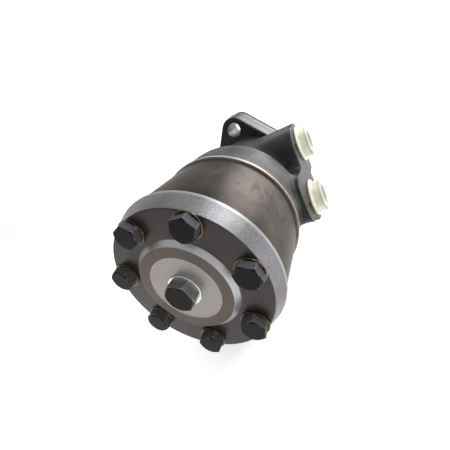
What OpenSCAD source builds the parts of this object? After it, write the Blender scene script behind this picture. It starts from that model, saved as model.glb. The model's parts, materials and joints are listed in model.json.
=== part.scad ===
// Orbital hydraulic motor with seven rollers, a cardan drive link and a two-bolt mounting flange.
// The motor's axis lies along Y. The output shaft points to +Y and the end cover closes the -Y end.
// The origin is on that axis, at the mounting flange's front face, and the ports face +X.
// Each piece is drawn about Z and laid over by lay_down(), so a station below is a distance
// along the motor's axis, counted from the mounting face, and a drawn +y is straight down.

/* [Overall] */
// Distance from the mounting face back to the end cover's face
motor_len = 184; // [182:0.5:188]
// Thickness of the end cover
cover_t = 11; // [10:0.5:13]
// Width of the roller set, which sets the displacement
stator_w = 50.5; // [46:0.5:52]
// Thickness of the spacer plate between the roller set and the housing
plate_t = 2.5; // [2:0.5:4]

/* [Outside radii] */
// Radius of the end cover's flat face
cover_face_r = 48; // [47:0.5:49]
// Radius of the end cover where it meets the roller set
cover_r = 51.9; // [51:0.1:52.5]
// Outside radius of the roller ring
stator_r = 50.8; // [50.2:0.1:51]
// Outside radius of the spacer plate
plate_r = 52.2; // [51:0.1:52.5]
// Outside radius of the housing's rear ring
ring_r = 51.6; // [50.8:0.1:52]
// Outside radius of the housing's neck
neck_r = 43; // [42:0.5:45]

/* [Mounting flange] */
// Thickness of the mounting flange
flange_t = 29.5; // [28:0.5:30]
// Distance between the two flange bolt holes
flange_pitch = 106.4; // [106:0.1:107]
// Diameter of the flange bolt holes
flange_hole_d = 13.5; // [13:0.1:14]
// Radius of the rounded end of each flange ear
ear_r = 12.5; // [12:0.5:13.5]
// Diameter of the locating pilot
pilot_d = 82.5; // [82:0.05:83]
// Height of the locating pilot
pilot_h = 6.3; // [6:0.1:8]

/* [Ports] */
// Distance from the motor's axis to the port face
port_face_x = 55.2; // [54.6:0.1:56]
// Distance between the two port centres, measured across the motor
port_gap = 38.4; // [37.6:0.2:39]
// Distance between the two port centres, measured along the motor
port_stagger = 29.2; // [28:0.2:30]
// Distance from the mounting face back to the point midway between the ports
port_back = 59; // [58.5:0.5:61]
// Diameter of the port threads at their roots
port_d = 19; // [18.6:0.1:19.4]
// Depth of the port threads
port_depth = 16; // [14:0.5:17]

/* [Output shaft] */
// Diameter of the shaft's keyed end
shaft_d = 25; // [24:0.5:25.4]
// Distance from the mounting face to the shaft's tip
shaft_out = 52; // [50:0.5:56]
// Width of the key
key_w = 8; // [7:0.5:8]
// Height of the key
key_h = 7; // [6:0.5:7]
// Length of the key
key_len = 32; // [28:1:32]

/* [Roller set] */
// Radius of the circle that the roller centres lie on
roller_pitch_r = 33; // [32.8:0.1:33.2]
// Radius of a roller
roller_r = 8.5; // [8.3:0.1:8.6]
// Distance from the motor's axis to the rotor's centre
orbit_e = 2.6; // [2.4:0.1:2.6]

/* [Bolts] */
// Radius of the circle that the cover bolts stand on
bolt_circle_r = 40.75; // [40.5:0.05:41]
// Width across flats of the cover bolts
bolt_af = 13; // [12:0.5:13]
// Height of the cover bolts' heads
bolt_head_h = 4.9; // [4.5:0.1:5.5]

/* [Hidden] */
$fn = 96;

// Cuts run past the faces that they open by this much
over = 1;
// Radial play of the shaft's journals, and of the rollers in their pockets
journal_play = 0.03;
roller_play = 0.05;
// Radial gap left round each screw's shank, so that two pieces never share a face
thread_play = 0.02;
// Play at each end of the rotor and the rollers
end_play = 0.05;

// Stations along the axis, from the rear to the mounting face at 0
cover_back = -motor_len;
stator_back = cover_back + cover_t;
plate_back = stator_back + stator_w;
housing_back = plate_back + plate_t;
housing_front = -flange_t;

// Seven bolts and, midway between them, seven rollers
roller_count = 7;
pitch_angle = 360 / roller_count;
first_bolt_angle = 98.5;
first_roller_angle = first_bolt_angle + pitch_angle / 2;
bolt_r = 4;
bolt_hole_r = 4.3;
bolt_grip = 15;
// Tapped holes run on past their screws by this much
tap_runout = 2;
washer_r = 8;
washer_t = 1;
// Which way each head's corner points, since bolts stop at any angle
head_turns = [12, 48, 30, 43, 5, 23, 52];

// Boss and drain plug on the end cover
boss_base_r = 30.7;
boss_top_r = 27.9;
boss_h = 2.9;
boss_top = cover_back - boss_h;
spot_r = 21.1;
spot_depth = 0.2;
plug_thread_r = 5;
plug_af = 16;
plug_head_h = 6.3;
plug_turn = 16;
plug_washer_r = 9.95;

// O-rings between the clamped faces, outside the bolts
body_ring_r = 47.6;
body_ring_wire_r = 0.95;

// Housing: rear ring, neck, spool bore and the two oil galleries round it
ring_len = 30;
spool_r = 22;
bore_r = spool_r + journal_play;
gallery_r = 26;
gallery_w = 8;
gallery_a = -79;
gallery_b = -108;
timing_station = -93.5;
timing_w = 7;
passage_r = 29;
passage_hole_r = 2.5;

// Port face: one pad for each port, the two alike and turned half a turn from each other.
// Each pad has a round lobe, a shoulder on the side towards the other port and a tongue on the far side.
lobe_r = 18.8;
shoulder_reach = 29.8;
shoulder_r = 17;
shoulder_out = 36.5;
tongue_reach = 32;
tongue_out = 28;
tongue_r = 10;
pad_overlap = 8;
passage_end_r = 26.7;
passage_a_angle = -30;
passage_b_angle = first_bolt_angle - 1.5 * pitch_angle;
manifold_hole_r = 3.4;
manifold_depth = 13;
manifold_back = 19.5;
manifold_up = 2.5;

// Front end: the flange's spigot, the thrust bearing and the seals
spigot_r = 30;
spigot_len = 5;
race_t = 1.5;
needle_r = 1.5;
race_r = 27;
race_bore_r = 14.6;
needle_count = 20;
needle_in = 17;
needle_len = 8;
thrust_gap = 0.05;
flange_race_back = housing_front - spigot_len - race_t;
needle_back = flange_race_back - thrust_gap - 2 * needle_r;
shaft_race_front = needle_back - thrust_gap;
shoulder = shaft_race_front - race_t;
counterbore_play = 0.5;
counterbore_back = shoulder - counterbore_play;
flange_ring_r = 29.1;
flange_ring_wire_r = 0.9;
flange_ring_back = 2.5;
flange_groove_w = 2.2;
seal_journal_r = 14.25;
seal_play = 0.1;
seal_pocket_r = 20;
seal_t = 8;
seal_washer_t = 2;
seal_back = housing_front - spigot_len + seal_washer_t;
flange_bore_r = 15;
dust_pocket_r = 19;
dust_t = 5;
journal_front = 8;

// Flange body and its six socket screws
hub_r = 45;
pilot_bevel = 0.8;
screw_circle_r = 34.5;
screw_count = 6;
screw_r = 3;
screw_head_r = 5;
screw_head_h = 6;
screw_grip = 12;
screw_first_angle = 30;
screw_bevel = 0.6;
screw_socket_r = 2.9;
screw_seat = pilot_h - screw_head_h - 0.5;

// Shaft: spool slots, splined socket, keyway and the tapped hole in its end
spool_play = 0.5;
spool_back = housing_back + spool_play;
slot_count = 6;
slot_w = 4;
slot_depth = 2.5;
socket_r = 14.6;
tip_chamfer = 1.5;
end_hole_r = 3.4;
end_hole_depth = 22;
key_start = 12;
key_sunk = 4;

// Splines: the links' teeth sit loosely in their sockets, because the link tilts
spline_teeth = 12;
female_root_r = 11.6;
female_tip_r = 14.2;
female_gap = 3.9;
male_root_r = 10.3;
male_tip_r = 13.3;
male_tooth = 2.6;
spline_len = 16;
link_shank_r = 9.5;
shaft_spline_station = -80;
rotor_spline_station = -152;
link_front = shaft_spline_station + spline_len / 2 + 2;
link_back = rotor_spline_station - spline_len / 2 - 5;
link_tilt = asin(orbit_e / (shaft_spline_station - rotor_spline_station));
spacer_r = 11;
spacer_front = link_back - 1;

// Rotor outline: the path of a roller seen from the rotor, moved in by the roller's radius
rotor_steps = 240;
rotor_play = 0.06;
spacer_bore_r = 3;
rotor_lobes = roller_count - 1;
stator_bore_r = roller_pitch_r - roller_r + 2 * orbit_e + 0.8;

function polar(r, a) = [r * cos(a), r * sin(a)];
function arc(centre, r, from, to, steps = 8) =
  [for (i = [0:steps]) centre + polar(r, from + (to - from) * i / steps)];

// Point of the rotor's outline for a roller at angle a, before play
function roller_path(a) = polar(roller_pitch_r, a) - polar(orbit_e, roller_count * a);
function path_heading(a) =
  let (d = polar(roller_pitch_r, a + 90) - roller_count * polar(orbit_e, roller_count * a + 90))
    atan2(d[1], d[0]);
function rotor_point(a) = roller_path(a) + polar(roller_r + rotor_play, path_heading(a) + 90);

// Lays a piece drawn about Z along the motor's axis
module lay_down() {
  rotate([-90, 0, 0]) children();
}

// A cylinder from one station to another
module bar(r, from, to) {
  translate([0, 0, from]) cylinder(r = r, h = to - from);
}

// A ring from one station to another
module ring(outer_r, inner_r, from, to) {
  difference() {
    bar(outer_r, from, to);
    bar(inner_r, from - over, to + over);
  }
}

// A ring of round wire at one station
module o_ring(r, wire_r, station) {
  translate([0, 0, station]) rotate_extrude() translate([r, 0]) circle(r = wire_r);
}

// The groove that holds such a ring, sunk from a face towards dir
module o_ring_groove(r, wire_r, face, dir) {
  depth = 2 * wire_r;
  low = min(face, face + dir * depth) - (dir > 0 ? over : 0);
  ring(r + wire_r + 0.2, r - wire_r - 0.2, low, low + depth + over);
}

// Copies at count even steps round a circle, from the angle first
module around(count, r, first = 0) {
  for (i = [0:count - 1]) rotate([0, 0, first + i * 360 / count]) translate([r, 0, 0]) children();
}

// A hexagonal head with its outer corners turned down, standing from 0 towards -Z
module hex_head(af, h) {
  corner_r = af / 2 / cos(30);
  bevel = corner_r - af / 2 + 0.3;
  rise = (bevel + over) * tan(30);
  intersection() {
    translate([0, 0, -h]) cylinder(r = corner_r, h = h, $fn = 6);
    union() {
      translate([0, 0, -h]) cylinder(r1 = corner_r - bevel, r2 = corner_r + over, h = rise);
      translate([0, 0, rise - h]) cylinder(r = corner_r + over, h = h);
    }
  }
}

// A straight drilled passage between two points
module passage(from, to, r) {
  d = to - from;
  len = norm(d);
  translate(from) rotate([0, acos(d[2] / len), atan2(d[1], d[0])]) cylinder(r = r, h = len);
}

// A cylinder along X at a place on the port face, reaching from x = from to x = to
module port_bar(y, station, r, from, to) {
  translate([from, y, station]) rotate([0, 90, 0]) cylinder(r = r, h = to - from);
}

/* Housing */

function housing_outline() = concat(
  [[0, housing_back], [ring_r - 0.6, housing_back], [ring_r, housing_back + 0.6]],
  arc([ring_r - 3, housing_back + ring_len], 3, 0, 90),
  arc([neck_r + 6, housing_back + ring_len + 9], 6, -90, -180),
  [[neck_r, housing_front], [0, housing_front]]
);

// Station of one port's centre; side -1 is the upper port and lies nearer the flange
function port_station(side) = -port_back - side * port_stagger / 2;

// A block from the axis to the port face, between two places along the motor and two across it
module pad_block(u_from, u_to, y_from, y_to) {
  translate([0, y_from, u_from]) cube([port_face_x, y_to - y_from, u_to - u_from]);
}

// The upper pad, drawn with the point midway between the ports at station 0
module pad() {
  u = port_stagger / 2;
  y = -port_gap / 2;
  port_bar(y, u, lobe_r, 0, port_face_x);
  pad_block(u - shoulder_reach, u, shoulder_r - shoulder_out, pad_overlap);
  pad_block(u - shoulder_reach + shoulder_r, u, -shoulder_out, 0);
  port_bar(shoulder_r - shoulder_out, u - shoulder_reach + shoulder_r, shoulder_r, 0, port_face_x);
  pad_block(u, u + tongue_reach - tongue_r, -tongue_out, pad_overlap);
  pad_block(u, u + tongue_reach, tongue_r - tongue_out, pad_overlap - tongue_r);
  for (corner = [tongue_r - tongue_out, pad_overlap - tongue_r])
    port_bar(corner, u + tongue_reach - tongue_r, tongue_r, 0, port_face_x);
}

module port_boss() {
  difference() {
    translate([0, 0, -port_back]) for (turn = [0, 180]) rotate([turn, 0, 0]) pad();
    translate([-over, -hub_r, housing_front]) cube([port_face_x + 2 * over, 2 * hub_r, port_back]);
  }
}

// One threaded port and the passage from its floor into one gallery
module port_cut(side, gallery, angle) {
  floor_x = port_face_x - port_depth;
  y = side * port_gap / 2;
  end = polar(passage_end_r, angle);
  port_bar(y, port_station(side), port_d / 2, floor_x, port_face_x + over);
  passage([floor_x + over, y, port_station(side)], [end[0], end[1], gallery], gallery_w / 2 - 0.4);
}

module housing_cuts() {
  bar(bore_r, housing_back - over, housing_front + over);
  bar(spigot_r + journal_play, counterbore_back, housing_front + over);
  for (station = [gallery_a, gallery_b]) bar(gallery_r, station - gallery_w / 2, station + gallery_w / 2);
  around(roller_count, passage_r, first_bolt_angle) {
    bar(passage_hole_r, housing_back - over, timing_station);
    translate([-passage_r + bore_r - over, -passage_hole_r, timing_station - timing_w / 2])
      cube([passage_r - bore_r + over, 2 * passage_hole_r, timing_w]);
  }
  around(roller_count, bolt_circle_r, first_bolt_angle)
    bar(bolt_r, housing_back - over, housing_back + bolt_grip + tap_runout);
  around(screw_count, screw_circle_r, screw_first_angle)
    bar(screw_r, housing_front - screw_grip - tap_runout, housing_front + over);
  o_ring_groove(body_ring_r, body_ring_wire_r, housing_back, 1);
  port_cut(-1, gallery_a, passage_a_angle);
  port_cut(1, gallery_b, passage_b_angle);
  for (side = [-1, 1])
    port_bar(side * port_gap / 2 - manifold_up, port_station(side) - manifold_back, manifold_hole_r,
      port_face_x - manifold_depth, port_face_x + over);
}

module housing() {
  color("#3b3f3e") lay_down() difference() {
    union() {
      rotate_extrude() polygon(housing_outline());
      port_boss();
    }
    housing_cuts();
  }
}

/* Mounting flange */

// Flat outline of the round hub and its two ears, with the tangents between them
module flange_shape() {
  reach = flange_pitch / 2;
  lean = asin((hub_r - ear_r) / reach);
  circle(r = hub_r);
  for (side = [-1, 1]) {
    translate([0, side * reach]) circle(r = ear_r);
    polygon([
      [0, 0], [hub_r * cos(lean), side * hub_r * sin(lean)],
      [ear_r * cos(lean), side * (reach + ear_r * sin(lean))], [0, side * reach],
      [-ear_r * cos(lean), side * (reach + ear_r * sin(lean))], [-hub_r * cos(lean), side * hub_r * sin(lean)]
    ]);
  }
}

module mounting_flange() {
  color("#454948") lay_down() difference() {
    union() {
      translate([0, 0, housing_front]) linear_extrude(flange_t) flange_shape();
      bar(spigot_r, housing_front - spigot_len, housing_front + over);
      bar(pilot_d / 2, -over, pilot_h - pilot_bevel);
      translate([0, 0, pilot_h - pilot_bevel])
        cylinder(r1 = pilot_d / 2, r2 = pilot_d / 2 - pilot_bevel, h = pilot_bevel);
    }
    bar(flange_bore_r, housing_front - spigot_len - over, pilot_h + over);
    bar(seal_pocket_r, housing_front - spigot_len - over, seal_back + seal_t);
    bar(dust_pocket_r, pilot_h - dust_t, pilot_h + over);
    translate([0, 0, housing_front - flange_ring_back])
      ring(spigot_r + over, flange_ring_r - flange_ring_wire_r, -flange_groove_w / 2, flange_groove_w / 2);
    for (side = [-1, 1])
      translate([0, side * flange_pitch / 2]) bar(flange_hole_d / 2, housing_front - over, over);
    around(screw_count, screw_circle_r, screw_first_angle) {
      bar(screw_r + 0.3, housing_front - over, pilot_h + over);
      bar(screw_head_r + 0.4, screw_seat, pilot_h + over);
    }
  }
}

module flange_screws() {
  top = screw_seat + screw_head_h;
  color("#2b2b2e") lay_down() around(screw_count, screw_circle_r, screw_first_angle) {
    bar(screw_r - thread_play, housing_front - screw_grip, screw_seat + over);
    difference() {
      union() {
        bar(screw_head_r, screw_seat, top - screw_bevel);
        translate([0, 0, top - screw_bevel])
          cylinder(r1 = screw_head_r, r2 = screw_head_r - screw_bevel, h = screw_bevel);
      }
      translate([0, 0, screw_seat + screw_head_h / 2])
        cylinder(r = screw_socket_r, h = screw_head_h, $fn = 6);
    }
  }
}

module flange_o_ring() {
  color("#1c1c1c") lay_down() o_ring(flange_ring_r, flange_ring_wire_r, housing_front - flange_ring_back);
}

// Lip seal: a pressed case with a wedge-shaped lip round the shaft
module lip_seal(outer_r, from, to) {
  lip_r = seal_journal_r + seal_play;
  h = to - from;
  throat = 2;
  skirt = 0.8;
  lip_at = 0.55;
  heel_at = 0.3;
  translate([0, 0, from]) rotate_extrude() polygon([
    [lip_r + throat, 0], [outer_r, 0], [outer_r, h], [lip_r + skirt, h], [lip_r, h * lip_at],
    [lip_r + skirt / 2, h * heel_at]
  ]);
}

module shaft_seal() {
  color("#7a4a30") lay_down() lip_seal(seal_pocket_r, seal_back, seal_back + seal_t);
}

module seal_washer() {
  color("#8c8c8c") lay_down()
    ring(seal_pocket_r, seal_journal_r + 0.4, seal_back - seal_washer_t, seal_back);
}

module dust_seal() {
  color("#202020") lay_down() lip_seal(dust_pocket_r, pilot_h - dust_t, pilot_h - 0.3);
}

/* Clamped stack */

module bolt_holes(from, to) {
  around(roller_count, bolt_circle_r, first_bolt_angle) bar(bolt_hole_r, from - over, to + over);
}

module spacer_plate() {
  color("#b9b4ae") lay_down() difference() {
    ring(plate_r, socket_r, plate_back, housing_back);
    bolt_holes(plate_back, housing_back);
    around(roller_count, passage_r, first_bolt_angle)
      bar(passage_hole_r, plate_back - over, housing_back + over);
  }
}

module stator_ring() {
  color("#6f6a66") lay_down() difference() {
    ring(stator_r, stator_bore_r, stator_back, plate_back);
    around(roller_count, roller_pitch_r, first_roller_angle)
      bar(roller_r + roller_play, stator_back - over, plate_back + over);
    bolt_holes(stator_back, plate_back);
    o_ring_groove(body_ring_r, body_ring_wire_r, plate_back, -1);
  }
}

function cover_outline() = concat(
  [[0, boss_top + spot_depth], [spot_r, boss_top + spot_depth], [spot_r, boss_top]],
  [[boss_top_r, boss_top], [boss_base_r, cover_back]],
  arc([cover_face_r - 0.8, cover_back + 0.8], 0.8, -90, -20, 4),
  [[cover_r - 0.2, stator_back - 1.6], [cover_r, stator_back - 1.2], [cover_r, stator_back - 0.6]],
  [[cover_r - 0.6, stator_back], [0, stator_back]]
);

module end_cover() {
  color("#5d5856") lay_down() difference() {
    rotate_extrude() polygon(cover_outline());
    bar(plug_thread_r, boss_top - over, stator_back + over);
    bolt_holes(cover_back, stator_back);
    o_ring_groove(body_ring_r, body_ring_wire_r, stator_back, -1);
  }
}

module cover_bolts() {
  seat = cover_back - washer_t;
  color("#26262a") lay_down() for (i = [0:roller_count - 1]) {
    place = polar(bolt_circle_r, first_bolt_angle + i * pitch_angle);
    translate([place[0], place[1], 0]) {
      translate([0, 0, seat]) rotate([0, 0, head_turns[i]]) hex_head(bolt_af, bolt_head_h);
      bar(bolt_r - thread_play, seat - over, housing_back + bolt_grip);
    }
  }
}

module bolt_washers() {
  color("#b87845") lay_down() around(roller_count, bolt_circle_r, first_bolt_angle)
    ring(washer_r, bolt_hole_r, cover_back - washer_t, cover_back);
}

module drain_plug() {
  seat = boss_top + spot_depth - washer_t;
  color("#55565a") lay_down() {
    translate([0, 0, seat]) rotate([0, 0, plug_turn]) hex_head(plug_af, plug_head_h);
    bar(plug_thread_r - thread_play, seat - over, stator_back - 1);
  }
}

module drain_washer() {
  seat = boss_top + spot_depth;
  color("#c9c9cc") lay_down() ring(plug_washer_r, plug_thread_r + 0.2, seat - washer_t, seat);
}

module housing_o_ring() {
  color("#1c1c1c") lay_down() o_ring(body_ring_r, body_ring_wire_r, housing_back + body_ring_wire_r);
}

module stator_o_ring() {
  color("#1c1c1c") lay_down() o_ring(body_ring_r, body_ring_wire_r, plate_back - body_ring_wire_r);
}

module cover_o_ring() {
  color("#1c1c1c") lay_down() o_ring(body_ring_r, body_ring_wire_r, stator_back - body_ring_wire_r);
}

/* Port plugs */

// Moulded transit plug: a hollow shank, a thin round rim and a hexagonal grip with a recess
module port_plug(side) {
  rim_r = 14.8;
  rim_t = 1.6;
  grip_af = 22.2;
  grip_h = 8.6;
  grip_turn = 12;
  shank_len = 11;
  recess_r = 7.5;
  recess_floor = 3;
  hollow_r = 6.5;
  place = [port_face_x, side * port_gap / 2, port_station(side)];
  color("#dfe3cf") lay_down() translate(place) rotate([0, 90, 0])
    difference() {
      union() {
        bar(rim_r, 0, rim_t);
        bar(port_d / 2 - journal_play, -shank_len, rim_t);
        rotate([0, 0, grip_turn]) rotate([180, 0, 0]) hex_head(grip_af, grip_h);
      }
      bar(recess_r, recess_floor, grip_h + over);
      bar(hollow_r, -shank_len - over, rim_t);
    }
}

module port_plug_a() {
  port_plug(-1);
}

module port_plug_b() {
  port_plug(1);
}

/* Output shaft and its thrust bearing */

// Straight-sided teeth of one width round a centre
function spline_outline(root_r, tip_r, width) = [
  for (i = [0:spline_teeth - 1], corner = [[root_r, -1], [tip_r, -1], [tip_r, 1], [root_r, 1]])
    let (a = i * 360 / spline_teeth, y = corner[1] * width / 2)
      [corner[0] * cos(a) - y * sin(a), corner[0] * sin(a) + y * cos(a)]
];

// A toothed socket that opens from one station to another
module female_spline(from, to) {
  translate([0, 0, from]) linear_extrude(to - from)
    polygon(spline_outline(female_root_r, female_tip_r, female_gap));
}

module male_spline(from, to) {
  translate([0, 0, from]) linear_extrude(to - from)
    polygon(spline_outline(male_root_r, male_tip_r, male_tooth));
}

// Six slots of one set, from a gallery across the ring of timing windows
module spool_slots(from, to, first) {
  around(slot_count, spool_r - slot_depth, first)
    translate([0, -slot_w / 2, from]) cube([slot_depth + over, slot_w, to - from]);
}

// A round-ended key on the side of the shaft away from +y, from low to high above the shaft's axis
module key_shape(low, high) {
  straight = key_len - key_w;
  translate([0, -low, key_start + key_w / 2]) rotate([90, 0, 0]) {
    translate([-key_w / 2, 0, 0]) cube([key_w, straight, high - low]);
    for (end = [0, straight]) translate([0, end, 0]) cylinder(r = key_w / 2, h = high - low);
  }
}

module output_shaft() {
  shaft_r = shaft_d / 2;
  spline_front = shaft_spline_station + spline_len / 2 + 3;
  color("#a9a9ad") lay_down() difference() {
    union() {
      bar(spool_r, spool_back, shoulder);
      bar(seal_journal_r, shoulder - over, journal_front);
      bar(shaft_r, journal_front - over, shaft_out - tip_chamfer);
      translate([0, 0, shaft_out - tip_chamfer])
        cylinder(r1 = shaft_r, r2 = shaft_r - tip_chamfer, h = tip_chamfer);
    }
    bar(socket_r, spool_back - over, shaft_spline_station - spline_len / 2 - 2);
    female_spline(shaft_spline_station - spline_len / 2 - 3, spline_front);
    bar(end_hole_r, shaft_out - end_hole_depth, shaft_out + over);
    key_shape(shaft_r - key_sunk, shaft_r + over);
    spool_slots(timing_station - timing_w / 2, gallery_a + gallery_w / 2, 0);
    spool_slots(gallery_b - gallery_w / 2, timing_station + timing_w / 2, 30);
  }
}

module shaft_key() {
  color("#8a8a8e") lay_down() key_shape(shaft_d / 2 - key_sunk, shaft_d / 2 - key_sunk + key_h);
}

module shaft_race() {
  color("#c4c4c8") lay_down() ring(race_r, seal_journal_r, shoulder, shaft_race_front);
}

module flange_race() {
  color("#c4c4c8") lay_down() ring(race_r, race_bore_r, flange_race_back, flange_race_back + race_t);
}

module needle_cage() {
  pocket_play = 0.15;
  back = needle_back + 0.3;
  front = needle_back + 2 * needle_r - 0.3;
  color("#b08d57") lay_down() difference() {
    ring(race_r - 0.5, race_bore_r + 0.5, back, front);
    around(needle_count, needle_in - pocket_play)
      translate([0, -needle_r - pocket_play, back - over])
        cube([needle_len + 2 * pocket_play, 2 * (needle_r + pocket_play), front - back + 2 * over]);
  }
}

module thrust_needles() {
  color("#d0d0d4") lay_down() around(needle_count, needle_in)
    translate([0, 0, needle_back + needle_r]) rotate([0, 90, 0]) cylinder(r = needle_r, h = needle_len);
}

/* Drive link and orbiting rotor */

// Puts a piece on the rotor's centre, which lies towards the first roller
module on_rotor_centre() {
  rotate([0, 0, first_roller_angle]) translate([orbit_e, 0, 0]) children();
}

module drive_link() {
  half = spline_len / 2;
  color("#9a9a9e") lay_down() rotate([0, 0, first_roller_angle])
    translate([0, 0, shaft_spline_station]) rotate([0, -link_tilt, 0]) rotate([0, 0, -first_roller_angle])
      translate([0, 0, -shaft_spline_station]) {
        bar(link_shank_r, link_back, link_front);
        male_spline(shaft_spline_station - half, shaft_spline_station + half);
        rotate([0, 0, first_roller_angle])
          male_spline(rotor_spline_station - half, rotor_spline_station + half);
      }
}

module drive_spacer() {
  color("#a0a0a4") lay_down() on_rotor_centre()
    ring(spacer_r, spacer_bore_r, stator_back + 4 * end_play, spacer_front);
}

module rotor() {
  outline = [for (i = [0:rotor_steps - 1]) rotor_point(i * 360 / rotor_steps)];
  color("#8f9094") lay_down() on_rotor_centre() difference() {
    translate([0, 0, stator_back + end_play]) linear_extrude(stator_w - 2 * end_play) polygon(outline);
    female_spline(stator_back - over, plate_back + over);
  }
}

module roller(i) {
  color("#b5b6ba") lay_down() rotate([0, 0, first_roller_angle + (i - 1) * pitch_angle])
    translate([roller_pitch_r, 0, 0]) bar(roller_r, stator_back + end_play, plate_back - end_play);
}

housing();
mounting_flange();
flange_screws();
flange_o_ring();
shaft_seal();
seal_washer();
dust_seal();
spacer_plate();
stator_ring();
end_cover();
cover_bolts();
bolt_washers();
drain_plug();
drain_washer();
housing_o_ring();
stator_o_ring();
cover_o_ring();
port_plug_a();
port_plug_b();
output_shaft();
shaft_key();
shaft_race();
flange_race();
needle_cage();
thrust_needles();
drive_link();
drive_spacer();
rotor();
roller(1);  // roller_1
roller(2);  // roller_2
roller(3);  // roller_3
roller(4);  // roller_4
roller(5);  // roller_5
roller(6);  // roller_6
roller(7);  // roller_7
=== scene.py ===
"""Looks of an orbital hydraulic motor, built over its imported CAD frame.

Lengths are millimetres here and turn into metres only where Blender takes them.
The motor's axis is Y: the end cover closes the -Y end, the ports face +X and one flange ear points up.
"""

import math

import bmesh
import bpy
import numpy as np
from mathutils import Matrix, Quaternion, Vector
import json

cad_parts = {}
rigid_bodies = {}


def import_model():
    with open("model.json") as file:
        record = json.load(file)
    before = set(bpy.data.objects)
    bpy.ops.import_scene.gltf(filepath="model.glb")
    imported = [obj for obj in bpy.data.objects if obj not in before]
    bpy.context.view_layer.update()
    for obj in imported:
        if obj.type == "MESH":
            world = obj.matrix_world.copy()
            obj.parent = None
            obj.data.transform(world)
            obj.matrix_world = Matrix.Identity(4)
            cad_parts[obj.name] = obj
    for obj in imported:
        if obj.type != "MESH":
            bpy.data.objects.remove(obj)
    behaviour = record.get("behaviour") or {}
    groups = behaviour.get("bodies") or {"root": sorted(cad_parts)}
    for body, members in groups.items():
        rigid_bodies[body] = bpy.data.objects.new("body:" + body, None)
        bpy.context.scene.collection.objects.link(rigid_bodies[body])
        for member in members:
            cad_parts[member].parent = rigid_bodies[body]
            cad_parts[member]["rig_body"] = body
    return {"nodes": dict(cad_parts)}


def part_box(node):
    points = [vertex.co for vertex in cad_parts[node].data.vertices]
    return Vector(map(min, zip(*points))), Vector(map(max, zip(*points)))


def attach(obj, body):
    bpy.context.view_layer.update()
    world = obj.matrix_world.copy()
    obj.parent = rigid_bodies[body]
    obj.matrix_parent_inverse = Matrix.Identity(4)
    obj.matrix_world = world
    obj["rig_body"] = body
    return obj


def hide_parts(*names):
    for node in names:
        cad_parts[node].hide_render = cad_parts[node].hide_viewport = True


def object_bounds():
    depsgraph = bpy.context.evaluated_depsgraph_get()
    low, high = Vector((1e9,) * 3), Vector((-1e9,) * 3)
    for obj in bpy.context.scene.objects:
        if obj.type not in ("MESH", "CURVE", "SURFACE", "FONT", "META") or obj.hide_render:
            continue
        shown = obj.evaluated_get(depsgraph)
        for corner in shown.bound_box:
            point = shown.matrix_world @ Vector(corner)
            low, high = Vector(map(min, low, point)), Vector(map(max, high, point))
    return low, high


MM = 0.001

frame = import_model()
cad_low, cad_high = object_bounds()


def span(node):
    """Lowest and highest corner of a CAD node."""
    low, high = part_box(node)
    return low / MM, high / MM


# Faces and radii read from the frame
HOUSING_BACK = span("housing")[0].y
FLANGE_BACK = span("housing")[1].y
PORT_FACE = span("housing")[1].x
RING_R = -span("housing")[0].x
EAR_REACH = span("mounting_flange")[1].z
COVER_FACE = span("bolt_washers")[1].y
COVER_R = span("end_cover")[1].x
DRAIN_TOP = span("drain_plug")[0].y
BOLT_TOP = span("cover_bolts")[0].y

# Radii on the end cover, from its middle outwards
SPOT_R = 21.1
BOSS_TOP_R = 27.9
COVER_FACE_R = 47.7

# Housing: the turned bare band on its rear ring, with a painted lip behind it, and its widest bore
BAND_BACK = HOUSING_BACK + 3.4
BAND_FRONT = HOUSING_BACK + 28.5
NECK_BORE_R = 31
MILL_CENTRE = (PORT_FACE, -20, 150)

# Mounting flange: bolt holes, and the parting line of its casting with the walls' draw away from it
EAR_R = 12.5
HOLE_UP = EAR_REACH - EAR_R
HOLE_R = 6.75
PARTING_Y = FLANGE_BACK / 2
PARTING_RISE = 0.22
DRAFT = 0.05

# Port plug: its shank in the port, its rim, and the recess in its grip with a pip in the middle
SHANK_R = 9.3
SHANK_HOLLOW_R = 6.5
RIM_T = 1.8
GRIP_HALF = 11.5
RECESS_R = 7.5
RECESS_FLOOR = 3
PIP_R = 1.6
PIP_TOP = 4.6

# Camera: where it stands, and its heading, tilt and roll in degrees
CAMERA_PLACE = (95.8, -266.6, 65.6)
CAMERA_HEADING = -32.182
CAMERA_TILT = -18.699
CAMERA_ROLL = 28.708

# The side of the studio that is white, which lies beyond the motor, up and to its right
BRIGHT_SIDE = (0.41, 0.76, 0.51)
DARK_SIDE_COLOUR = (0.15, 0.15, 0.155, 1)


# Camera and stage


def make_camera():
    """A wide-angle camera that looks at the motor from its cover's end, rolled to one side."""
    heading = math.radians(CAMERA_HEADING)
    tilt = math.radians(CAMERA_TILT)
    ahead = Vector((math.sin(heading) * math.cos(tilt), math.cos(heading) * math.cos(tilt), math.sin(tilt)))
    right = ahead.cross(Vector((0, 0, 1))).normalized()
    right.rotate(Quaternion(ahead, math.radians(CAMERA_ROLL)))
    up = right.cross(ahead)
    data = bpy.data.cameras.new("camera")
    data.lens = 20.035
    data.sensor_width = 36
    data.shift_x = -0.00386
    data.shift_y = -0.02177
    data.clip_start = 0.01
    data.clip_end = 100
    camera = bpy.data.objects.new("camera", data)
    bpy.context.scene.collection.objects.link(camera)
    turn = Matrix((right, up, -ahead)).transposed().to_4x4()
    camera.matrix_world = Matrix.Translation(Vector(CAMERA_PLACE) * MM) @ turn
    bpy.context.scene.camera = camera


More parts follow.
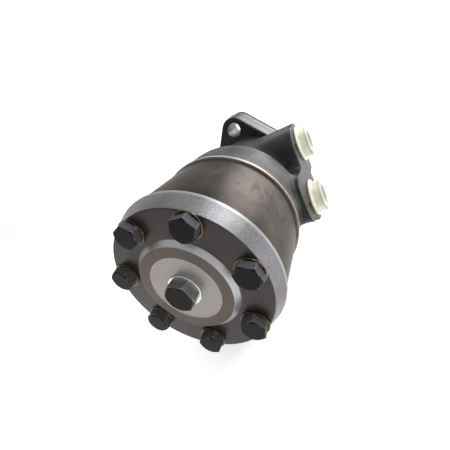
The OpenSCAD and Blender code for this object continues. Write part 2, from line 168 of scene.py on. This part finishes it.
def make_light(name, direction, distance, size, power):
    """A square soft box that looks at the motor's middle from one direction."""
    data = bpy.data.lights.new(name, "AREA")
    data.energy = power
    data.size = size
    light = bpy.data.objects.new(name, data)
    bpy.context.scene.collection.objects.link(light)
    middle = (cad_low + cad_high) / 2
    outward = Vector(direction).normalized()
    light.location = middle + outward * distance
    light.rotation_euler = outward.to_track_quat("Z", "Y").to_euler()


def make_world():
    """A white studio that falls off to dark grey on one side, so that metal has something to reflect."""
    world = bpy.data.worlds.new("studio")
    bpy.context.scene.world = world
    world.use_nodes = True
    tree = world.node_tree
    place = tree.nodes.new("ShaderNodeTexCoord")
    nearness = tree.nodes.new("ShaderNodeMapRange")
    nearness.interpolation_type = "SMOOTHSTEP"
    nearness.inputs["From Min"].default_value = -0.85
    nearness.inputs["From Max"].default_value = -0.05
    toward = tree.nodes.new("ShaderNodeVectorMath")
    toward.operation = "DOT_PRODUCT"
    toward.inputs[1].default_value = Vector(BRIGHT_SIDE).normalized()
    ramp = tree.nodes.new("ShaderNodeValToRGB")
    tree.links.new(place.outputs["Generated"], toward.inputs[0])
    tree.links.new(toward.outputs["Value"], nearness.inputs["Value"])
    tree.links.new(nearness.outputs["Result"], ramp.inputs["Fac"])
    ramp.color_ramp.elements[0].color = DARK_SIDE_COLOUR
    ramp.color_ramp.elements[1].color = (1, 1, 1, 1)
    background = tree.nodes["Background"]
    tree.links.new(ramp.outputs["Color"], background.inputs["Color"])


def make_floor():
    """A plain pale floor just under the motor."""
    bpy.ops.mesh.primitive_plane_add(size=60, location=(0, 0, cad_low.z - 2 * MM))
    floor = bpy.context.object
    floor.name = "floor"
    material = bpy.data.materials.new("floor")
    material.use_nodes = True
    shader = material.node_tree.nodes["Principled BSDF"]
    shader.inputs["Base Color"].default_value = (0.93, 0.93, 0.93, 1)
    shader.inputs["Roughness"].default_value = 0.9
    shader.inputs["Specular IOR Level"].default_value = 0.1
    shader.inputs["Emission Color"].default_value = (1, 1, 1, 1)
    shader.inputs["Emission Strength"].default_value = 0.4
    floor.data.materials.append(material)


# Materials


def grey(value):
    return (value, value, value, 1)


def rgb(red, green, blue):
    return (red, green, blue, 1)


class Finish:
    """One procedural material, drawn in the row frame's millimetres."""

    def __init__(self, name):
        self.material = bpy.data.materials.new(name)
        self.material.use_nodes = True
        self.tree = self.material.node_tree
        self.shader = self.tree.nodes["Principled BSDF"]
        coordinates = self.tree.nodes.new("ShaderNodeTexCoord").outputs["Object"]
        self.place = self.vector("SCALE", coordinates, scale=1 / MM)
        split = self.add("ShaderNodeSeparateXYZ", Vector=self.place)
        self.x, self.y, self.z = split.outputs
        across = self.math("ADD", self.math("POWER", self.x, 2), self.math("POWER", self.z, 2))
        self.radius = self.math("SQRT", across, 0)

    def add(self, kind, **values):
        """A node with each named input linked to a socket or set to a value."""
        node = self.tree.nodes.new(kind)
        for name, value in values.items():
            self.feed(node.inputs[name.replace("_", " ")], value)
        return node

    def feed(self, socket, value):
        if isinstance(value, bpy.types.NodeSocket):
            self.tree.links.new(value, socket)
        else:
            socket.default_value = value

    def math(self, operation, a, b):
        node = self.tree.nodes.new("ShaderNodeMath")
        node.operation = operation
        self.feed(node.inputs[0], a)
        self.feed(node.inputs[1], b)
        return node.outputs[0]

    def vector(self, operation, a, b=None, scale=None):
        node = self.tree.nodes.new("ShaderNodeVectorMath")
        node.operation = operation
        self.feed(node.inputs[0], a)
        if b is not None:
            self.feed(node.inputs[1], b)
        if scale is not None:
            node.inputs["Scale"].default_value = scale
        return node.outputs["Value" if operation in ("DOT_PRODUCT", "DISTANCE") else "Vector"]

    def both(self, *masks):
        """1 where every mask is 1."""
        joined = masks[0]
        for mask in masks[1:]:
            joined = self.math("MULTIPLY", joined, mask)
        return joined

    def step(self, value, low, high):
        """Rises smoothly from 0 at low to 1 at high, or falls when low is above high."""
        node = self.add("ShaderNodeMapRange", Value=value)
        node.interpolation_type = "SMOOTHSTEP"
        if low < high:
            self.limits(node, low, high, 0, 1)
        else:
            self.limits(node, high, low, 1, 0)
        return node.outputs[0]

    def limits(self, node, low, high, to_low, to_high):
        for name, value in zip(("From Min", "From Max", "To Min", "To Max"), (low, high, to_low, to_high)):
            node.inputs[name].default_value = value

    def between(self, value, low, high, soft):
        """1 from low to high, fading over soft to each side of both."""
        over_low = self.step(value, low - soft, low + soft)
        under_high = self.step(value, high + soft, high - soft)
        return self.both(over_low, under_high)

    def noise(self, size, detail=3, roughness=0.55):
        """Soft spots about size across, from 0 to 1."""
        node = self.add(
            "ShaderNodeTexNoise", Vector=self.place, Scale=1 / size, Detail=detail, Roughness=roughness
        )
        return node.outputs["Fac"]

    def lines(self, value, size, detail=2):
        """Fine tool marks that run where value is constant."""
        node = self.tree.nodes.new("ShaderNodeTexNoise")
        node.noise_dimensions = "1D"
        self.feed(node.inputs["W"], value)
        node.inputs["Scale"].default_value = 1 / size
        node.inputs["Detail"].default_value = detail
        return node.outputs["Fac"]

    def edges(self, width):
        """1 on edges, from how far a rounded normal turns away from the true one."""
        rounded = self.tree.nodes.new("ShaderNodeBevel")
        rounded.samples = 4
        rounded.inputs["Radius"].default_value = width * MM
        geometry = self.tree.nodes.new("ShaderNodeNewGeometry")
        agree = self.vector("DOT_PRODUCT", rounded.outputs["Normal"], geometry.outputs["Normal"])
        return self.step(self.math("SUBTRACT", 1, agree), 0.008, 0.125)

    def mix(self, factor, a, b):
        """A colour from a where factor is 0 to b where it is 1."""
        node = self.tree.nodes.new("ShaderNodeMix")
        node.data_type = "RGBA"
        self.feed(node.inputs["Factor"], factor)
        self.feed(node.inputs[6], a)
        self.feed(node.inputs[7], b)
        return node.outputs[2]

    def blend(self, factor, a, b):
        """A number from a where factor is 0 to b where it is 1."""
        node = self.tree.nodes.new("ShaderNodeMix")
        self.feed(node.inputs[0], factor)
        self.feed(node.inputs[2], a)
        self.feed(node.inputs[3], b)
        return node.outputs[0]

    def bump(self, *layers):
        """Adds layers of relief, each a height from 0 to 1 and its depth."""
        normal = None
        for height, depth in layers:
            node = self.add("ShaderNodeBump", Height=height)
            node.inputs["Distance"].default_value = depth * MM
            if normal is not None:
                self.tree.links.new(normal, node.inputs["Normal"])
            normal = node.outputs["Normal"]
        self.tree.links.new(normal, self.shader.inputs["Normal"])

    def surface(self, **values):
        """Feeds the shader and gives the material."""
        for name, value in values.items():
            self.feed(self.shader.inputs[name.replace("_", " ")], value)
        return self.material


def casting_finish():
    """Dark painted iron, bare on the milled port face and on the rear ring's turned band."""
    f = Finish("painted_casting")
    patches = f.noise(22, 3)
    grain = f.noise(1.5, 4, 0.6)
    peel = f.noise(0.45, 2)
    paint = f.mix(f.step(patches, 0.35, 0.68), rgb(0.011, 0.013, 0.013), rgb(0.024, 0.026, 0.026))
    paint = f.mix(f.both(f.edges(0.9), f.step(grain, 0.45, 0.6)), paint, rgb(0.10, 0.10, 0.095))

    face = f.step(f.x, PORT_FACE - 0.3, PORT_FACE - 0.12)
    milling = f.lines(f.vector("DISTANCE", f.place, MILL_CENTRE), 0.8, 3)
    bare = f.mix(milling, rgb(0.022, 0.019, 0.015), rgb(0.060, 0.053, 0.044))
    bare = f.mix(f.step(f.noise(9, 3), 0.4, 0.7), bare, rgb(0.014, 0.013, 0.011))

    wandering_y = f.math("ADD", f.y, f.blend(f.noise(7, 2), -1.5, 1.5))
    band = f.both(
        f.step(wandering_y, BAND_FRONT + 3, BAND_FRONT - 2),
        f.step(f.y, BAND_BACK - 0.3, BAND_BACK),
        f.between(f.radius, RING_R - 4, RING_R + 1.5, 0.8),
    )
    turning = f.lines(f.y, 0.35, 3)
    ring = f.mix(f.step(f.noise(14, 4), 0.3, 0.7), rgb(0.030, 0.030, 0.029), rgb(0.060, 0.059, 0.057))
    ring = f.mix(f.step(f.noise(2.2, 2), 0.71, 0.74), ring, rgb(0.30, 0.26, 0.20))

    colour = f.mix(band, f.mix(face, paint, bare), ring)
    rough = f.blend(patches, 0.30, 0.46)
    rough = f.blend(face, rough, f.blend(milling, 0.34, 0.55))
    rough = f.blend(band, rough, f.blend(turning, 0.42, 0.58))
    metal = f.blend(face, f.math("MULTIPLY", band, 0.35), 0.45)
    cast = f.math("SUBTRACT", 1, f.math("MAXIMUM", face, band))
    f.bump(
        (f.both(grain, cast), 0.22),
        (f.both(peel, cast), 0.05),
        (f.both(milling, face), 0.03),
        (f.both(turning, band), 0.03),
    )
    return f.surface(
        Base_Color=colour,
        Roughness=rough,
        Metallic=metal,
        Specular_IOR_Level=0.24,
        Specular_Tint=grey(0.68),
    )


def ground_steel_finish():
    """The roller ring: ground steel with a thin brown film and finger marks."""
    f = Finish("ring_steel")
    film = f.step(f.noise(26, 4), 0.25, 0.8)
    marks = f.step(f.noise(6, 4, 0.65), 0.5, 0.66)
    grinding = f.lines(f.y, 0.22, 3)
    colour = f.mix(film, rgb(0.032, 0.028, 0.0255), rgb(0.084, 0.077, 0.071))
    colour = f.mix(f.both(marks, film), colour, rgb(0.040, 0.030, 0.023))
    colour = f.mix(f.edges(0.5), colour, rgb(0.20, 0.19, 0.175))
    rough = f.math("ADD", f.blend(film, 0.26, 0.38), f.math("MULTIPLY", grinding, 0.06))
    f.bump((grinding, 0.012), (f.noise(0.5, 3), 0.01))
    return f.surface(
        Base_Color=colour,
        Roughness=rough,
        Metallic=0.85,
        Specular_IOR_Level=0.3,
        Specular_Tint=rgb(0.56, 0.54, 0.52),
    )


def plate_finish():
    """The thin spacer plate: bright steel, with a painted warm reflection, a yellow-brown tint, on the port
    side.
    """
    f = Finish("plate_steel")
    # Painted reflection: a warm yellow-brown tint on the port side, broken up by noise, stands for a warm
    # reflection there.
    warm_reflection = f.both(f.step(f.x, 30, 50), f.step(f.noise(12, 2), 0.1, 0.5))
    colour = f.mix(warm_reflection, rgb(0.31, 0.305, 0.30), rgb(0.20, 0.155, 0.11))
    rough = f.blend(f.noise(4, 3), 0.38, 0.5)
    f.bump((f.lines(f.y, 0.15, 2), 0.008))
    return f.surface(Base_Color=colour, Roughness=rough, Metallic=0.7)


def cover_finish():
    """The end cover: satin rim, turned face darkened by painted shade, a painted highlight round its outer
    edge, and a boss with a bright wall and a turned spot face.
    """
    f = Finish("cover_steel")
    turning = f.lines(f.radius, 0.4, 3)
    patches = f.noise(20, 4)
    speckle = f.noise(0.7, 3, 0.7)

    # Painted shade: the turned face gets a dark brown tone that stands for the dark surroundings it
    # reflects; its patches and turning marks are its own.
    face = f.mix(f.step(patches, 0.3, 0.72), rgb(0.006, 0.0040, 0.0038), rgb(0.018, 0.0118, 0.0112))
    face = f.mix(f.math("MULTIPLY", turning, 0.35), face, rgb(0.024, 0.0195, 0.0175))

    rim = f.step(f.radius, COVER_FACE_R - 0.1, COVER_FACE_R + 0.25)
    satin = f.mix(f.step(speckle, 0.3, 0.7), rgb(0.10, 0.102, 0.108), rgb(0.19, 0.192, 0.20))
    satin = f.mix(f.step(patches, 0.45, 0.75), satin, rgb(0.10, 0.094, 0.094))

    raised = f.step(f.y, COVER_FACE - 0.1, COVER_FACE - 0.35)
    wall = f.both(raised, f.step(f.radius, BOSS_TOP_R - 0.12, BOSS_TOP_R + 0.1))
    ring = f.both(raised, f.between(f.radius, SPOT_R, BOSS_TOP_R, 0.1))
    spot = f.both(raised, f.step(f.radius, SPOT_R + 0.1, SPOT_R - 0.1))
    ring_colour = f.mix(patches, rgb(0.045, 0.036, 0.030), rgb(0.11, 0.093, 0.079))
    spot_colour = f.mix(turning, rgb(0.15, 0.138, 0.127), rgb(0.34, 0.318, 0.298))
    spot_colour = f.mix(f.step(f.noise(9, 4), 0.35, 0.65), spot_colour, rgb(0.25, 0.235, 0.22))

    colour = f.mix(rim, face, satin)
    colour = f.mix(wall, colour, rgb(0.34, 0.34, 0.345))
    colour = f.mix(ring, colour, ring_colour)
    colour = f.mix(spot, colour, spot_colour)
    colour = f.mix(f.edges(0.45), colour, rgb(0.50, 0.48, 0.48))
    # Painted highlight: a bright line round the cover's outer edge, next to the roller ring.
    colour = f.mix(f.step(f.radius, COVER_R - 0.55, COVER_R - 0.3), colour, rgb(0.26, 0.255, 0.255))

    bright = f.math("MAXIMUM", rim, raised)
    metal = f.blend(bright, 0.10, 0.72)
    rough = f.blend(bright, f.blend(patches, 0.26, 0.38), f.blend(speckle, 0.32, 0.48))
    f.bump((turning, 0.015), (f.both(speckle, rim), 0.05), (f.noise(3, 3), 0.02))
    return f.surface(
        Base_Color=colour,
        Roughness=rough,
        Metallic=metal,
        Specular_IOR_Level=0.35,
        Specular_Tint=rgb(1, 0.95, 0.94),
    )


def bolt_finish():
    """Black-oxide steel, rubbed bright on its edges, with painted shade darkening the ends of the cover
    bolts' heads.
    """
    f = Finish("black_oxide")
    forged = f.noise(0.9, 4, 0.65)
    patches = f.noise(3.5, 3)
    # Painted shade: the ends of the cover bolts' heads are darkened for the dark surroundings they reflect.
    end = f.step(f.y, BOLT_TOP + 0.9, BOLT_TOP + 0.3)
    sides = f.mix(patches, rgb(0.022, 0.022, 0.024), rgb(0.075, 0.074, 0.078))
    oxide = f.mix(end, sides, f.mix(patches, rgb(0.0015, 0.0014, 0.0015), rgb(0.006, 0.0055, 0.006)))
    colour = f.mix(f.both(f.edges(0.45), f.step(forged, 0.4, 0.6)), oxide, rgb(0.45, 0.45, 0.46))
    f.bump((forged, 0.12), (f.noise(0.3, 2), 0.03))
    return f.surface(Base_Color=colour, Roughness=f.blend(forged, 0.30, 0.52), Specular_IOR_Level=0.08)


def metal_finish(name, dark, light, rough_low, rough_high, tarnish=None, edge=0.35, bright=None):
    """Worked metal from dark to light in soft patches, with fine scratches and bright edges."""
    f = Finish(name)
    patches = f.noise(5, 4)
    scratches = f.lines(f.math("ADD", f.y, f.math("MULTIPLY", f.radius, 0.6)), 0.3, 3)
    colour = f.mix(f.step(patches, 0.3, 0.7), dark, light)
    if tarnish is not None:
        colour = f.mix(f.step(f.noise(2.5, 3), 0.52, 0.66), colour, tarnish)
    if bright is None:
        bright = tuple(min(1, channel * 1.35) for channel in light[:3]) + (1,)
    colour = f.mix(f.edges(edge), colour, bright)
    f.bump((scratches, 0.01), (f.noise(0.6, 3), 0.02))
    return f.surface(Base_Color=colour, Roughness=f.blend(scratches, rough_low, rough_high), Metallic=0.95)


def drain_plug_finish():
    """Zinc-plated steel, with painted shade darkening the end of the head."""
    f = Finish("zinc_plug")
    patches = f.noise(3, 4)
    # Painted shade: the end of the head is darkened for the dark ground it reflects.
    end = f.step(f.y, DRAIN_TOP + 0.6, DRAIN_TOP + 0.2)
    sides = f.mix(patches, rgb(0.10, 0.10, 0.103), rgb(0.21, 0.213, 0.217))
    painted_end_shade = f.mix(patches, rgb(0.006, 0.0058, 0.0046), rgb(0.022, 0.0215, 0.018))
    colour = f.mix(f.edges(0.4), f.mix(end, sides, painted_end_shade), rgb(0.5, 0.5, 0.5))
    f.bump((f.lines(f.radius, 0.35, 2), 0.01), (f.noise(0.5, 3), 0.03))
    return f.surface(
        Base_Color=colour,
        Roughness=f.blend(patches, 0.3, 0.5),
        Metallic=0.7,
        Specular_IOR_Level=0.15,
        Specular_Tint=grey(0.5),
    )


def plug_finish():
    """Milky polyethylene: creamy at the rim, with painted shade that makes it cooler and darker towards the
    grip's end.
    """
    f = Finish("plug_plastic")
    # Painted shade: the plastic darkens and turns cooler towards the grip's end.
    outward = f.step(f.x, PORT_FACE + 5, PORT_FACE + 11)
    cloud = f.noise(3.2, 3)
    near = f.mix(cloud, rgb(0.44, 0.44, 0.33), rgb(0.62, 0.62, 0.50))
    far = f.mix(cloud, rgb(0.07, 0.095, 0.10), rgb(0.14, 0.165, 0.155))
    f.bump((f.noise(1.6, 3), 0.05), (f.noise(0.35, 2), 0.01))
    return f.surface(
        Base_Color=f.mix(outward, near, far),
        Roughness=f.blend(cloud, 0.30, 0.45),
        Subsurface_Weight=0.55,
        Subsurface_Radius=(1.0, 1.0, 0.7),
        Subsurface_Scale=0.004,
        IOR=1.5,
    )


def rubber_finish(name, dark, light):
    """Moulded rubber with a faint bloom."""
    f = Finish(name)
    bloom = f.noise(2.5, 4)
    f.bump((f.noise(0.4, 3), 0.03))
    return f.surface(Base_Color=f.mix(bloom, dark, light), Roughness=f.blend(bloom, 0.42, 0.62))


# Pieces


def stand_in(name, mesh, node, material):
    """Puts a finished mesh in the scene in the place of a CAD node, on that node's body."""
    mesh.materials.clear()
    mesh.materials.append(material)
    piece = bpy.data.objects.new(name, mesh)
    bpy.context.scene.collection.objects.link(piece)
    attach(piece, frame["nodes"][node]["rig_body"])
    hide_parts(node)
    return piece


def welded(node):
    """A bmesh of a CAD node with its faces joined along their edges."""
    work = bmesh.new()
    work.from_mesh(frame["nodes"][node].data)
    bmesh.ops.remove_doubles(work, verts=work.verts, dist=0.002 * MM)
    return work


def sharp_edges(work, angle):
    """The edges that turn by more than angle, in degrees."""
    return [e for e in work.edges if len(e.link_faces) == 2 and e.calc_face_angle(0) > math.radians(angle)]


def machined_piece(name, node, material, edge=0.25):
    """A turned or forged piece: the CAD shape with every edge broken by a small rounding."""
    work = welded(node)
    bmesh.ops.dissolve_limit(
        work, angle_limit=math.radians(0.5), verts=work.verts, edges=work.edges, delimit={"NORMAL"}
    )
    bmesh.ops.bevel(
        work,
        geom=sharp_edges(work, 28),
        offset=edge * MM,
        segments=2,
        profile=0.5,
        affect="EDGES",
        clamp_overlap=True,
    )
    mesh = bpy.data.meshes.new(name)
    for face in work.faces:
        face.smooth = True
    for face_edge in sharp_edges(work, 50):
        face_edge.smooth = False
    work.to_mesh(mesh)
    work.free()
    piece = stand_in(name, mesh, node, material)
    shading = piece.modifiers.new("flat faces", "WEIGHTED_NORMAL")
    shading.keep_sharp = True
    shading.weight = 90
    return piece


def remeshed(node, voxel):
    """A CAD node's mesh rebuilt as small even quads."""
    work = welded(node)
    mesh = bpy.data.meshes.new(node)
    work.to_mesh(mesh)
    work.free()
    draft = bpy.data.objects.new(node, mesh)
    bpy.context.scene.collection.objects.link(draft)
    remesh = draft.modifiers.new("voxels", "REMESH")
    remesh.mode = "VOXEL"
    remesh.voxel_size = voxel * MM
    graph = bpy.context.evaluated_depsgraph_get()
    even = bpy.data.meshes.new_from_object(draft.evaluated_get(graph))
    bpy.data.objects.remove(draft)
    return even


def points_of(mesh):
    """A mesh's points, in millimetres."""
    points = np.zeros(len(mesh.vertices) * 3, np.float32)
    mesh.vertices.foreach_get("co", points)
    return points.reshape(-1, 3).astype(float) / MM


def smoothed(mesh, points, softness, passes):
    """Moves each point towards its neighbours' average, by its softness from 0 to 1, over and over."""
    stride = 0.6
    ends = np.zeros(len(mesh.edges) * 2, np.int32)
    mesh.edges.foreach_get("vertices", ends)
    a, b = ends.reshape(-1, 2).T
    count = len(points)
    neighbours = np.maximum(np.bincount(a, minlength=count) + np.bincount(b, minlength=count), 1)
    for _ in range(passes):
        average = np.empty_like(points)
        for axis in range(3):
            total = np.bincount(a, points[b, axis], count) + np.bincount(b, points[a, axis], count)
            average[:, axis] = total / neighbours
        points = points + (average - points) * softness[:, None] * stride
    return points


def rise(value, low, high):
    """Smooth step from 0 at low to 1 at high."""
    t = np.clip((value - low) / (high - low), 0, 1)
    return t * t * (3 - 2 * t)


def normals_of(mesh):
    normals = np.zeros(len(mesh.vertices) * 3, np.float32)
    mesh.vertex_normals.foreach_get("vector", normals)
    return normals.reshape(-1, 3).astype(float)


def place_points(mesh, points):
    """Moves a mesh's points to these places, in millimetres."""
    mesh.vertices.foreach_set("co", (points * MM).astype(np.float32).ravel())
    mesh.update()


def cast_piece(name, node, material, voxel, softness, passes, shape=None):
    """A casting: the CAD shape with its raw corners rounded off and its machined faces kept."""
    mesh = remeshed(node, voxel * (1))
    points = points_of(mesh)
    soft = softness(points)
    points = smoothed(mesh, points, soft, passes // (1))
    points = smoothed(mesh, points, np.full(len(points), 0.5), 2)
    place_points(mesh, points)
    if shape is not None:
        place_points(mesh, shape(points, normals_of(mesh)))
    mesh.polygons.foreach_set("use_smooth", np.ones(len(mesh.polygons), bool))
    piece = stand_in(name, mesh, node, material)
    thin = piece.modifiers.new("thin", "DECIMATE")
    thin.ratio = 0.35
    return piece


def housing_softness(points):
    """1 on the housing's raw casting and 0 on its machined faces and bores."""
    x, y, z = points.T
    radius = np.hypot(x, z)
    soft = rise(PORT_FACE - x, 0.2, 0.7)
    soft *= np.maximum(rise(y, BAND_FRONT - 9, BAND_FRONT - 2), rise(radius, RING_R + 0.3, RING_R + 2))
    soft *= rise(radius, NECK_BORE_R, NECK_BORE_R + 2)
    soft *= rise(FLANGE_BACK - y, 0.3, 1.5)
    for node in ("port_plug_a", "port_plug_b"):
        low, high = span(node)
        from_port = np.hypot(y - (low.y + high.y) / 2, z - (low.z + high.z) / 2)
        soft *= rise(from_port, SHANK_R + 0.2, SHANK_R + 2.2)
    return soft


def flange_softness(points):
    """1 on the ears' raw edges and 0 on the flange's machined faces and holes."""
    x, y, z = points.T
    radius = np.hypot(x, z)
    from_hole = np.hypot(x, np.abs(z) - HOLE_UP)
    soft = rise(-y, 0.1, 0.8)
    soft *= rise(radius, NECK_BORE_R + 1, NECK_BORE_R + 4)
    soft *= rise(from_hole, HOLE_R + 0.2, HOLE_R + 1.5)
    return soft


def flange_draft(points, normals):
    """Draws the flange's side walls in away from a raised parting line."""
    x, y, z = points.T
    away = np.abs(y - PARTING_Y)
    side = rise(0.75 - np.abs(normals[:, 1]), 0, 0.3)
    side *= rise(np.hypot(x, z), NECK_BORE_R + 4, NECK_BORE_R + 8)
    side *= rise(np.hypot(x, np.abs(z) - HOLE_UP), HOLE_R + 1, HOLE_R + 3)
    side *= rise(-y, -0.4, 0.2)
    inward = PARTING_RISE * rise(away, 0.3, 1.6) + DRAFT * away
    flat = normals * (1, 0, 1)
    return points - flat * (inward * side)[:, None]


def circle_points(radius, count):
    """Points round a circle."""
    steps = [2 * math.pi * i / count for i in range(count)]
    return [(radius * math.cos(a), radius * math.sin(a)) for a in steps]


def hexagon_points(reach, corner, count, turn):
    """Points round a hexagon of half width reach, with its corners cut back by corner and rounded."""
    sharpness = 4
    outline = []
    for i in range(count):
        angle = 2 * math.pi * i / count
        flat = (angle % (math.pi / 3)) - math.pi / 6
        straight = reach / math.cos(flat)
        soft = reach / math.cos(math.pi / 6) - corner
        radius = -math.log(math.exp(-straight * sharpness) + math.exp(-soft * sharpness)) / sharpness
        outline.append((radius * math.cos(angle + turn), radius * math.sin(angle + turn)))
    return outline


def port_plug(name, node):
    """A moulded transit plug: hollow shank, rim, hexagonal grip and a recess with a pip in the middle."""
    low, high = span(node)
    middle_y, middle_z = (low.y + high.y) / 2, (low.z + high.z) / 2
    rim_r = (high.y - low.y) / 2
    grip_top = high.x - PORT_FACE
    shank = PORT_FACE - low.x
    turn = math.radians(12)
    count = 96

    def circle(radius):
        return circle_points(radius, count)

    def hexagon(drawn_in, corner=0.7):
        return hexagon_points(GRIP_HALF - drawn_in, corner, count, turn)

    # Each layer is a height over the port face and its outline, from the shank's hollow end to the pip
    layers = [
        (-shank, circle(SHANK_HOLLOW_R)),
        (-shank, circle(SHANK_R - 0.7)),
        (-shank + 1.2, circle(SHANK_R)),
        (0, circle(SHANK_R)),
        (0, circle(rim_r - 0.3)),
        (0.3, circle(rim_r)),
        (RIM_T - 0.6, circle(rim_r)),
        (RIM_T - 0.2, circle(rim_r - 0.4)),
        (RIM_T - 0.1, circle(rim_r - 1.6)),
        (RIM_T, hexagon(-0.9)),
        (RIM_T + 0.3, hexagon(-0.25)),
        (RIM_T + 0.9, hexagon(0)),
        (grip_top - 0.9, hexagon(0.1)),
        (grip_top - 0.4, hexagon(0.25, 0.8)),
        (grip_top - 0.1, hexagon(0.6, 0.9)),
        (grip_top, hexagon(1.1, 1.0)),
        (grip_top, circle(RECESS_R + 0.6)),
        (grip_top - 0.3, circle(RECESS_R + 0.2)),
        (grip_top - 1, circle(RECESS_R)),
        (RECESS_FLOOR + 0.6, circle(RECESS_R - 0.3)),
        (RECESS_FLOOR + 0.1, circle(RECESS_R - 0.9)),
        (RECESS_FLOOR, circle(RECESS_R - 3.5)),
        (RECESS_FLOOR + 0.2, circle(PIP_R)),
        (PIP_TOP - 0.2, circle(PIP_R - 0.3)),
        (PIP_TOP, circle(PIP_R - 0.8)),
    ]
    work = bmesh.new()
    rings = []
    for height, outline in layers:
        ring = [
            work.verts.new(((PORT_FACE + height) * MM, (middle_y + u) * MM, (middle_z + v) * MM))
            for u, v in outline
        ]
        rings.append(ring)
    for lower, upper in zip(rings, rings[1:]):
        for i in range(count):
            j = (i + 1) % count
            work.faces.new((lower[i], lower[j], upper[j], upper[i]))
    work.faces.new(rings[-1])
    inner = [work.verts.new(v.co + Vector((shank + 1, 0, 0)) * MM) for v in rings[0]]
    for i in range(count):
        j = (i + 1) % count
        work.faces.new((rings[0][j], rings[0][i], inner[i], inner[j]))
    work.faces.new(list(reversed(inner)))
    bmesh.ops.recalc_face_normals(work, faces=work.faces)
    for face in work.faces:
        face.smooth = True
    for edge in sharp_edges(work, 55):
        edge.smooth = False
    mesh = bpy.data.meshes.new(name)
    work.to_mesh(mesh)
    work.free()
    return stand_in(name, mesh, node, finishes["plug_plastic"])


# The whole motor

finishes = {
    "painted_casting": casting_finish(),
    "ring_steel": ground_steel_finish(),
    "plate_steel": plate_finish(),
    "cover_steel": cover_finish(),
    "black_oxide": bolt_finish(),
    "zinc_plug": drain_plug_finish(),
    "plug_plastic": plug_finish(),
    "bright_steel": metal_finish("bright_steel", grey(0.33), rgb(0.40, 0.40, 0.41), 0.2, 0.34),
    "key_steel": metal_finish("key_steel", grey(0.26), grey(0.38), 0.3, 0.45),
    "silver_washer": metal_finish("silver_washer", grey(0.62), grey(0.78), 0.24, 0.4),
    "copper": metal_finish(
        "copper",
        rgb(0.05, 0.038, 0.024),
        rgb(0.16, 0.115, 0.06),
        0.26,
        0.40,
        tarnish=rgb(0.02, 0.016, 0.012),
        edge=0.3,
        bright=rgb(0.72, 0.58, 0.34),
    ),
    "cage_brass": metal_finish("cage_brass", rgb(0.5, 0.36, 0.14), rgb(0.68, 0.51, 0.24), 0.25, 0.4),
    "seal_rubber": rubber_finish("seal_rubber", rgb(0.012, 0.012, 0.012), rgb(0.03, 0.03, 0.03)),
    "shaft_rubber": rubber_finish("shaft_rubber", rgb(0.10, 0.045, 0.025), rgb(0.16, 0.075, 0.045)),
}

cast_piece(
    "housing_casting", "housing", finishes["painted_casting"], 0.6, housing_softness, 190
)
cast_piece(
    "flange_casting", "mounting_flange", finishes["painted_casting"], 0.5,
    flange_softness, 60, flange_draft,
)

# Machined pieces that show: node, finish, record slot and the width of its broken edges
MACHINED = [
    ("end_cover", "cover_steel", "cover_steel", 0.3),
    ("stator_ring", "ring_steel", "ring_steel", 0.3),
    ("spacer_plate", "plate_steel", "bright_steel", 0.25),
    ("cover_bolts", "black_oxide", "black_oxide", 0.25),
    ("bolt_washers", "copper", "copper", 0.2),
    ("drain_plug", "zinc_plug", "zinc_plug", 0.3),
    ("drain_washer", "silver_washer", "bright_steel", 0.25),
    ("output_shaft", "bright_steel", "bright_steel", 0.2),
    ("shaft_key", "key_steel", "bright_steel", 0.35),
    ("flange_screws", "black_oxide", "black_oxide", 0.2),
]
for node, finish, slot, edge in MACHINED:
    machined_piece(node + "_finished", node, finishes[finish], edge)

port_plug("upper_port_plug", "port_plug_a")
port_plug("lower_port_plug", "port_plug_b")

# Pieces that keep their CAD shape, by finish
PLAIN = {
    "seal_rubber": ["flange_o_ring", "housing_o_ring", "stator_o_ring", "cover_o_ring", "dust_seal"],
    "shaft_rubber": ["shaft_seal"],
    "cage_brass": ["needle_cage"],
    "bright_steel": ["seal_washer", "shaft_race", "flange_race", "thrust_needles"]
    + ["drive_link", "drive_spacer", "rotor"]
    + [f"roller_{i}" for i in range(1, 8)],
}
for finish, nodes in PLAIN.items():
    for node in nodes:
        for socket in frame["nodes"][node].material_slots:
            socket.material = finishes[finish]

make_world()
make_light("key", (0.74, 0.1, 0.66), 0.75, 0.35, 5)
make_light("far", (0.38, 0.87, 0.30), 0.8, 0.45, 4)
make_floor()
make_camera()
bpy.context.scene.view_settings.view_transform = "Standard"
